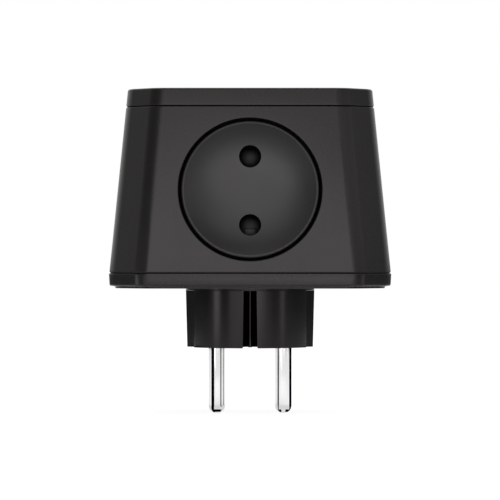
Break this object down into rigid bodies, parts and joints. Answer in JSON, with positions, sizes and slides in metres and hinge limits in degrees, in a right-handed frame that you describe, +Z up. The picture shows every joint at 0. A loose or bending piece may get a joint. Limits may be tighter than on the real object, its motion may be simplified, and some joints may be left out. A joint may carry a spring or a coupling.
{
  "type": "multi-socket adapter",
  "caption": "Squat tapered black mains adapter cube with cut corners, a dished round outlet with shuttered holes in each side, and a grooved round pin plug underneath.",
  "frame": {"origin": "centre of the plug's seating face, midway between the two pins", "axes": "+Z up, away from the wall outlet, through the top cap; -Y out of the front outlet; +X towards the line pin"},
  "size_m": [0.0782, 0.0782, 0.0913],
  "materials": {
    "black_plastic": "fine-grained black moulded plastic with a soft sheen",
    "shutter_plastic": "plain dark moulded plastic",
    "insulator_plastic": "dark grey heat-resistant moulding",
    "pin_metal": "bright nickel-plated brass with turning marks too fine to see",
    "contact_brass": "stamped strip brass",
    "spring_steel": "drawn spring wire",
    "screw_steel": "zinc-plated screw steel"
  },
  "bodies": {
    "housing": {"base_plate": "black_plastic", "plug_body": "black_plastic", "line_pin": "pin_metal", "neutral_pin": "pin_metal", "main_shell": "black_plastic", "top_cap": "black_plastic", "socket_insert_front": "black_plastic", "socket_insert_right": "black_plastic", "socket_insert_rear": "black_plastic", "socket_insert_left": "black_plastic", "shutter_spring_front": "spring_steel", "shutter_spring_right": "spring_steel", "shutter_spring_rear": "spring_steel", "shutter_spring_left": "spring_steel", "shutter_tray_front": "shutter_plastic", "shutter_tray_right": "shutter_plastic", "shutter_tray_rear": "shutter_plastic", "shutter_tray_left": "shutter_plastic", "line_bus": "contact_brass", "neutral_bus": "contact_brass", "line_riser": "contact_brass", "neutral_riser": "contact_brass", "lower_insulator": "insulator_plastic", "upper_insulator": "insulator_plastic", "insulator_cap": "insulator_plastic", "case_screws": "screw_steel", "tower_screws": "screw_steel", "plug_screws": "screw_steel", "tray_screws": "screw_steel", "terminal_screws": "screw_steel"},
    "front_shutter": {"shutter_front": "shutter_plastic"},
    "right_shutter": {"shutter_right": "shutter_plastic"},
    "rear_shutter": {"shutter_rear": "shutter_plastic"},
    "left_shutter": {"shutter_left": "shutter_plastic"}
  },
  "joints": [
    {"name": "front_shutter_slide", "type": "slide", "parent": "housing", "child": "front_shutter", "axis": [0, -0.0976, -0.9952], "range_m": [0, 0.0058], "stiffness_N_per_m": 60, "springref_m": -0.008, "deforming": ["shutter_spring_front"]},
    {"name": "right_shutter_slide", "type": "slide", "parent": "housing", "child": "right_shutter", "axis": [0.0976, 0, -0.9952], "range_m": [0, 0.0058], "stiffness_N_per_m": 60, "springref_m": -0.008, "deforming": ["shutter_spring_right"]},
    {"name": "rear_shutter_slide", "type": "slide", "parent": "housing", "child": "rear_shutter", "axis": [0, 0.0976, -0.9952], "range_m": [0, 0.0058], "stiffness_N_per_m": 60, "springref_m": -0.008, "deforming": ["shutter_spring_rear"]},
    {"name": "left_shutter_slide", "type": "slide", "parent": "housing", "child": "left_shutter", "axis": [-0.0976, 0, -0.9952], "range_m": [0, 0.0058], "stiffness_N_per_m": 60, "springref_m": -0.008, "deforming": ["shutter_spring_left"]}
  ]
}
